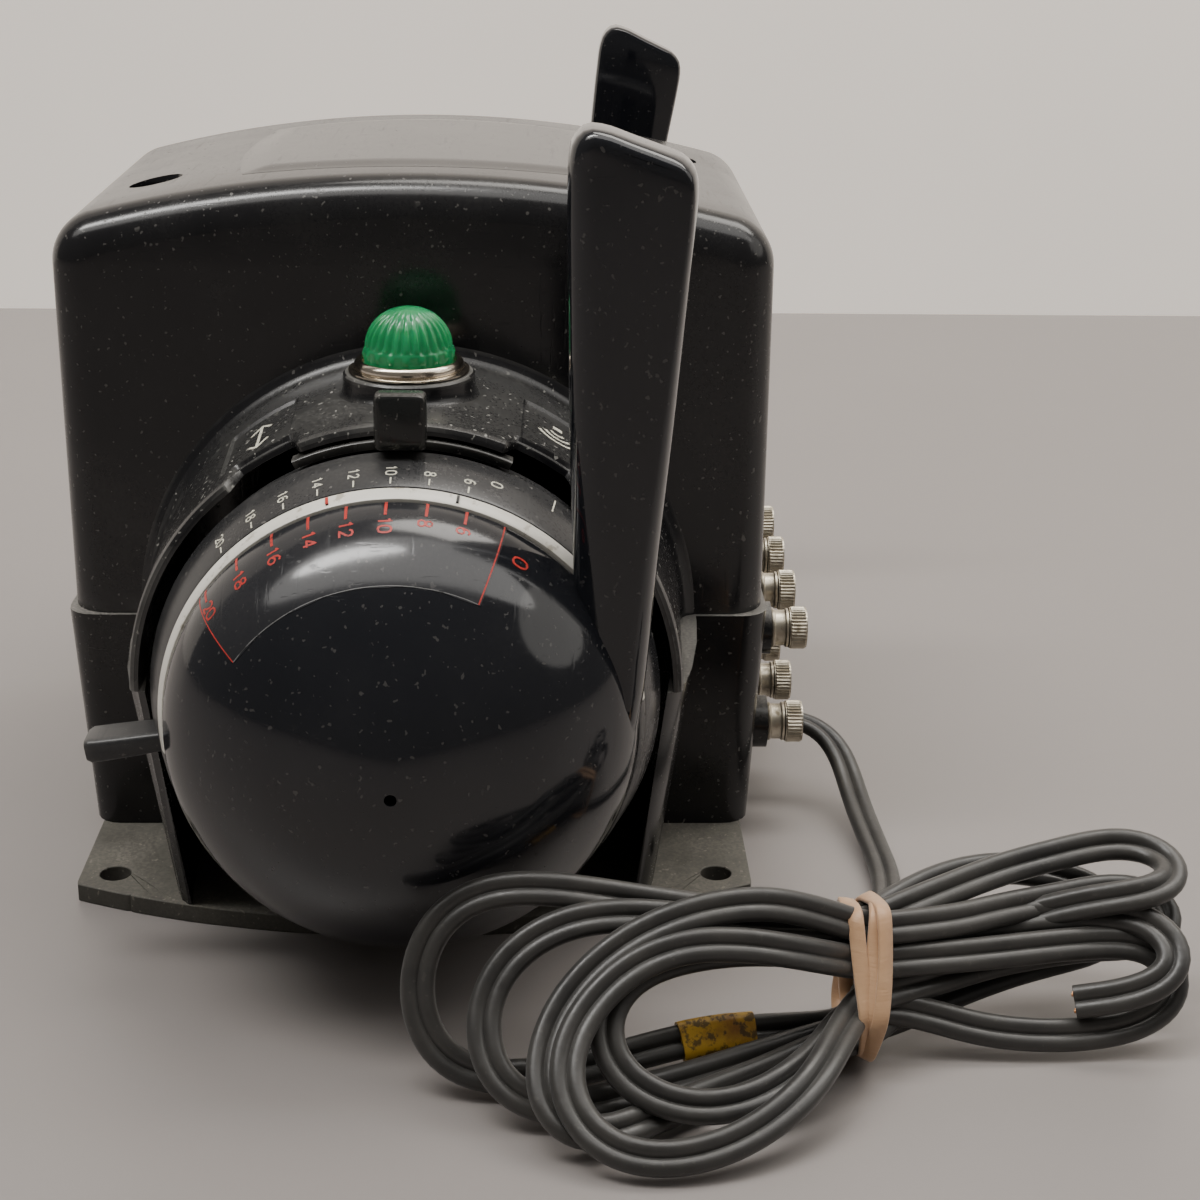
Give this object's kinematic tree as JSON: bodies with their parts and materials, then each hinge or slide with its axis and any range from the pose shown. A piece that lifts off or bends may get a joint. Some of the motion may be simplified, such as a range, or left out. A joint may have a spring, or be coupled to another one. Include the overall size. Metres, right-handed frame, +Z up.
{
  "type": "variable transformer",
  "caption": "Moulded double-ended variable transformer with domed throttle handles, dial rings, signal levers, pilot lamps, knurled binding posts and a hanked twin power cord.",
  "frame": {"origin": "centre of the base plate's underside, on the bench plane, midway between both ends and on the line below the control shafts", "axes": "+X along the control shafts towards the end with the green lamp, +Y towards the binding posts and the cord, +Z up"},
  "size_m": [0.3339, 0.231, 0.1701],
  "materials": {
    "painted_steel": "dusty satin paint",
    "case_moulding": "glossy black phenolic, dusty and lightly scratched",
    "control_moulding": "glossy blue-black phenolic",
    "steel": "plated steel",
    "tube_steel": "turned steel",
    "plate_black": "black enamelled sheet",
    "lamination_iron": "varnished sheet iron",
    "copper_winding": "enamelled copper with a bared track",
    "breaker_phenolic": "brown moulding",
    "rectifier_metal": "plated discs",
    "nickel": "dull warm nickel on brass",
    "rubber_black": "matt",
    "cord_vinyl": "dark grey vinyl, satin",
    "band_rubber": "natural rubber",
    "tag_paper": "worn amber adhesive tag",
    "ivory": "ivory moulding",
    "jewel_green": "moulded fluted jewel",
    "jewel_red": "moulded fluted jewel",
    "lamp_glass": "clear glass with a brass cap",
    "carbon": "carbon roller"
  },
  "bodies": {
    "case": {"base_plate": "painted_steel", "lower_case": "case_moulding", "top_cover": "case_moulding", "cover_screws": "steel", "nameplate": "plate_black", "core_laminations": "lamination_iron", "core_brackets": "steel", "transformer_winding": "copper_winding", "circuit_breaker": "breaker_phenolic", "rectifier_stack": "rectifier_metal", "binding_studs": "nickel", "cord_grommet": "rubber_black", "power_cord": "cord_vinyl", "cord_hank": "cord_vinyl", "rubber_band": "band_rubber", "cord_tag": "tag_paper", "fixed_tube_near": "tube_steel", "fixed_tube_far": "tube_steel", "index_ring_near": "ivory", "index_ring_far": "ivory", "hub_flange_near": "steel", "hub_flange_far": "steel", "signal_spring_near": "steel", "signal_spring_far": "steel", "lamp_bezel_near": "nickel", "lamp_bezel_far": "nickel", "lamp_lens_near": "jewel_green", "lamp_lens_far": "jewel_red", "lamp_bulb_near": "lamp_glass", "lamp_bulb_far": "lamp_glass"},
    "throttle_near": {"handle_dome_near": "control_moulding", "throttle_shaft_near": "steel"},
    "throttle_far": {"handle_dome_far": "control_moulding", "throttle_shaft_far": "steel"},
    "ring_near": {"dial_ring_near": "control_moulding", "ring_sleeve_near": "steel"},
    "ring_far": {"dial_ring_far": "control_moulding", "ring_sleeve_far": "steel"},
    "signal_near": {"signal_lever_near": "control_moulding"},
    "signal_far": {"signal_lever_far": "control_moulding"},
    "throttle_wheel_near": {"throttle_roller_near": "carbon"},
    "throttle_wheel_far": {"throttle_roller_far": "carbon"},
    "ring_wheel_near": {"ring_roller_near": "carbon"},
    "ring_wheel_far": {"ring_roller_far": "carbon"},
    "collar_1": {"nut_collar_1": "nickel"},
    "nut_1": {"thumb_nut_1": "nickel"},
    "collar_2": {"nut_collar_2": "nickel"},
    "nut_2": {"thumb_nut_2": "nickel"},
    "collar_3": {"nut_collar_3": "nickel"},
    "nut_3": {"thumb_nut_3": "nickel"},
    "collar_4": {"nut_collar_4": "nickel"},
    "nut_4": {"thumb_nut_4": "nickel"},
    "collar_5": {"nut_collar_5": "nickel"},
    "nut_5": {"thumb_nut_5": "nickel"},
    "collar_6": {"nut_collar_6": "nickel"},
    "nut_6": {"thumb_nut_6": "nickel"},
    "collar_7": {"nut_collar_7": "nickel"},
    "nut_7": {"thumb_nut_7": "nickel"},
    "collar_8": {"nut_collar_8": "nickel"},
    "nut_8": {"thumb_nut_8": "nickel"}
  },
  "joints": [
    {"name": "throttle_near_turn", "type": "hinge", "parent": "case", "child": "throttle_near", "pos_m": [0.13, 0, 0.055], "axis": [1, 0, 0], "range_deg": [-44, 50]},
    {"name": "throttle_far_turn", "type": "hinge", "parent": "case", "child": "throttle_far", "pos_m": [-0.13, 0, 0.055], "axis": [1, 0, 0], "range_deg": [-38, 56]},
    {"name": "ring_near_turn", "type": "hinge", "parent": "case", "child": "ring_near", "pos_m": [0.1, 0, 0.055], "axis": [1, 0, 0], "range_deg": [-63, 23]},
    {"name": "ring_far_turn", "type": "hinge", "parent": "case", "child": "ring_far", "pos_m": [-0.1, 0, 0.055], "axis": [1, 0, 0], "range_deg": [-63, 23]},
    {"name": "signal_near_tilt", "type": "hinge", "parent": "case", "child": "signal_near", "pos_m": [0.06, 0, 0.055], "axis": [1, 0, 0], "range_deg": [-15, 15], "stiffness_Nm_per_rad": 0.25},
    {"name": "signal_far_tilt", "type": "hinge", "parent": "case", "child": "signal_far", "pos_m": [-0.06, 0, 0.055], "axis": [1, 0, 0], "range_deg": [-15, 15], "stiffness_Nm_per_rad": 0.25},
    {"name": "throttle_wheel_near_roll", "type": "hinge", "parent": "throttle_near", "child": "throttle_wheel_near", "pos_m": [0.0345, 0, 0.0733], "axis": [0, 0, 1], "range_deg": [-235, 210]},
    {"name": "throttle_wheel_far_roll", "type": "hinge", "parent": "throttle_far", "child": "throttle_wheel_far", "pos_m": [-0.0345, 0.00191, 0.0732], "axis": [0, 0.1045, 0.9945], "range_deg": [-180, 260]},
    {"name": "ring_wheel_near_roll", "type": "hinge", "parent": "ring_near", "child": "ring_wheel_near", "pos_m": [0.0345, 0, 0.0857], "axis": [0, 0, 1], "range_deg": [-180, 490]},
    {"name": "ring_wheel_far_roll", "type": "hinge", "parent": "ring_far", "child": "ring_wheel_far", "pos_m": [-0.0345, 0, 0.0857], "axis": [0, 0, 1], "range_deg": [-490, 180]},
    {"name": "collar_1_slide", "type": "slide", "parent": "case", "child": "collar_1", "axis": [0, 1, 0], "range_m": [0, 0.00238]},
    {"name": "nut_1_turn", "type": "hinge", "parent": "collar_1", "child": "nut_1", "pos_m": [0.0381, 0.0853, 0.0462], "axis": [0, 1, 0], "range_deg": [0, 1080]},
    {"name": "collar_2_slide", "type": "slide", "parent": "case", "child": "collar_2", "axis": [0, 1, 0], "range_m": [0, 0.00238]},
    {"name": "nut_2_turn", "type": "hinge", "parent": "collar_2", "child": "nut_2", "pos_m": [0.0127, 0.0853, 0.0462], "axis": [0, 1, 0], "range_deg": [0, 1080]},
    {"name": "collar_3_slide", "type": "slide", "parent": "case", "child": "collar_3", "axis": [0, 1, 0], "range_m": [0, 0.00238]},
    {"name": "nut_3_turn", "type": "hinge", "parent": "collar_3", "child": "nut_3", "pos_m": [-0.0127, 0.0853, 0.0462], "axis": [0, 1, 0], "range_deg": [0, 1080]},
    {"name": "collar_4_slide", "type": "slide", "parent": "case", "child": "collar_4", "axis": [0, 1, 0], "range_m": [0, 0.00238]},
    {"name": "nut_4_turn", "type": "hinge", "parent": "collar_4", "child": "nut_4", "pos_m": [-0.0381, 0.0853, 0.0462], "axis": [0, 1, 0], "range_deg": [0, 1080]},
    {"name": "collar_5_slide", "type": "slide", "parent": "case", "child": "collar_5", "axis": [0, 1, 0], "range_m": [0, 0.00238]},
    {"name": "nut_5_turn", "type": "hinge", "parent": "collar_5", "child": "nut_5", "pos_m": [0.0381, 0.0853, 0.023], "axis": [0, 1, 0], "range_deg": [0, 1080]},
    {"name": "collar_6_slide", "type": "slide", "parent": "case", "child": "collar_6", "axis": [0, 1, 0], "range_m": [0, 0.00238]},
    {"name": "nut_6_turn", "type": "hinge", "parent": "collar_6", "child": "nut_6", "pos_m": [0.0127, 0.0853, 0.023], "axis": [0, 1, 0], "range_deg": [0, 1080]},
    {"name": "collar_7_slide", "type": "slide", "parent": "case", "child": "collar_7", "axis": [0, 1, 0], "range_m": [0, 0.00238]},
    {"name": "nut_7_turn", "type": "hinge", "parent": "collar_7", "child": "nut_7", "pos_m": [-0.0127, 0.0853, 0.023], "axis": [0, 1, 0], "range_deg": [0, 1080]},
    {"name": "collar_8_slide", "type": "slide", "parent": "case", "child": "collar_8", "axis": [0, 1, 0], "range_m": [0, 0.00238]},
    {"name": "nut_8_turn", "type": "hinge", "parent": "collar_8", "child": "nut_8", "pos_m": [-0.0381, 0.0853, 0.023], "axis": [0, 1, 0], "range_deg": [0, 1080]}
  ],
  "couplings": [
    {"joint": "throttle_wheel_near_roll", "follows": "throttle_near_turn", "ratio": -4.575},
    {"joint": "throttle_wheel_far_roll", "follows": "throttle_far_turn", "ratio": 4.575},
    {"joint": "ring_wheel_near_roll", "follows": "ring_near_turn", "ratio": -7.675},
    {"joint": "ring_wheel_far_roll", "follows": "ring_far_turn", "ratio": 7.675},
    {"joint": "nut_1_turn", "follows": "collar_1_slide", "rad_per_m": 7913.3},
    {"joint": "nut_2_turn", "follows": "collar_2_slide", "rad_per_m": 7913.3},
    {"joint": "nut_3_turn", "follows": "collar_3_slide", "rad_per_m": 7913.3},
    {"joint": "nut_4_turn", "follows": "collar_4_slide", "rad_per_m": 7913.3},
    {"joint": "nut_5_turn", "follows": "collar_5_slide", "rad_per_m": 7913.3},
    {"joint": "nut_6_turn", "follows": "collar_6_slide", "rad_per_m": 7913.3},
    {"joint": "nut_7_turn", "follows": "collar_7_slide", "rad_per_m": 7913.3},
    {"joint": "nut_8_turn", "follows": "collar_8_slide", "rad_per_m": 7913.3}
  ]
}
